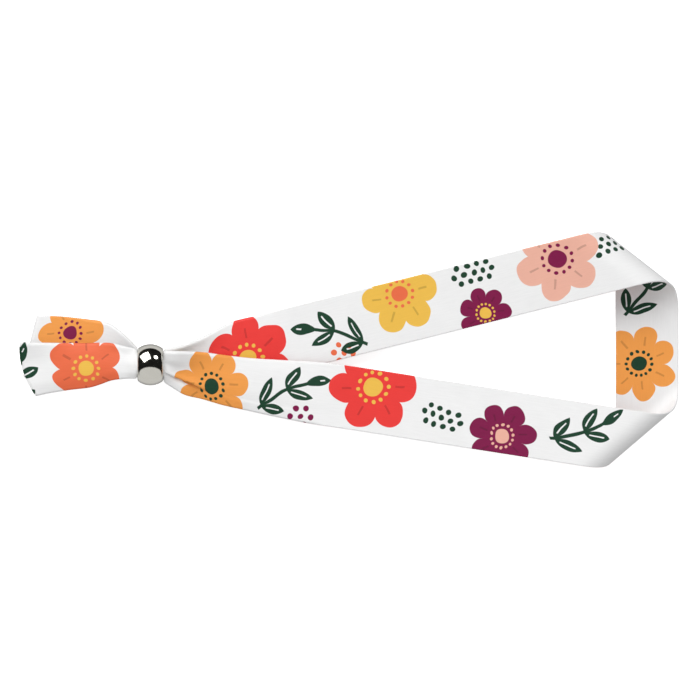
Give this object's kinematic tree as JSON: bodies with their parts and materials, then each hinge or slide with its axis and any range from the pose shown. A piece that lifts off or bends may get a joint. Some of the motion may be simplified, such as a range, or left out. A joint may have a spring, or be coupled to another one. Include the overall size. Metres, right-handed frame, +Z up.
{
  "type": "festival wristband",
  "caption": "Flat printed ribbon folded into a wrist loop, with both cut ends drawn through a small metal bead.",
  "frame": {"origin": "on the resting surface, under the middle of the bounding box of the whole wristband as laid flat", "axes": "+X from the cut ends and the bead to the far end of the loop, +Z up from the resting surface"},
  "size_m": [0.1596, 0.0572, 0.0116],
  "materials": {
    "ribbon": "woven satin, printed on both faces",
    "bead": "polished nickel plate"
  },
  "bodies": {
    "root": {"ribbon_strap": "ribbon", "closure_bead": "bead"}
  },
  "joints": []
}
